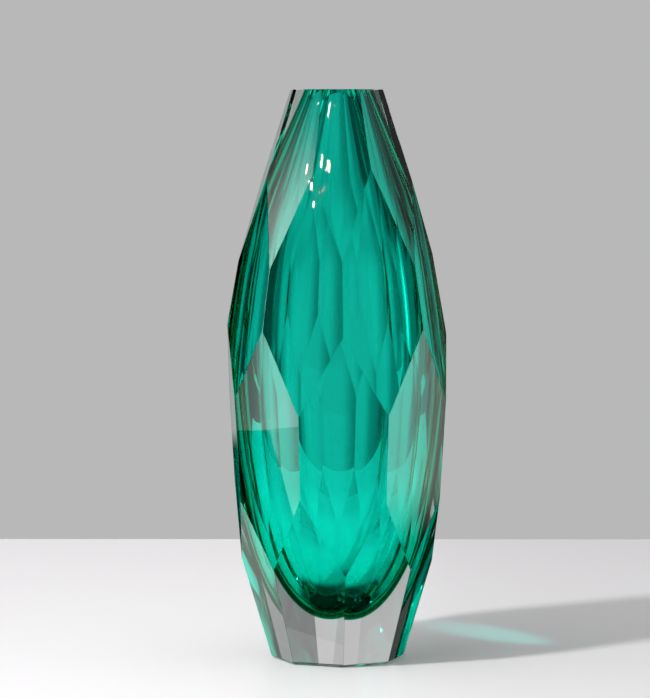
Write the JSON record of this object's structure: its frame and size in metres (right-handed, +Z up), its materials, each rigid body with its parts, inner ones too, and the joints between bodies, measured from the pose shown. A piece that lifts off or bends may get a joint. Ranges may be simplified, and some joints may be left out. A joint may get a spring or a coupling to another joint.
{
  "type": "cut crystal vase",
  "caption": "Tall faceted cut-crystal vase: thick clear casing over a rounded green inner layer, with a narrow mouth, a deep hollow and a heavy clear foot.",
  "frame": {"origin": "centre of the flat base, on the surface that the vase stands on", "axes": "+Z up along the vase's axis, towards the mouth; -Y faces the front, through the middle of a neck facet; +X to the right"},
  "size_m": [0.1156, 0.115, 0.3],
  "materials": {
    "clear_crystal": "polished colourless crystal, wheel-cut flat facets with crisp arrises",
    "emerald_glass": "transparent emerald green glass, fire-polished inside"
  },
  "bodies": {
    "root": {"clear_casing": "clear_crystal", "green_lining": "emerald_glass"}
  },
  "joints": []
}
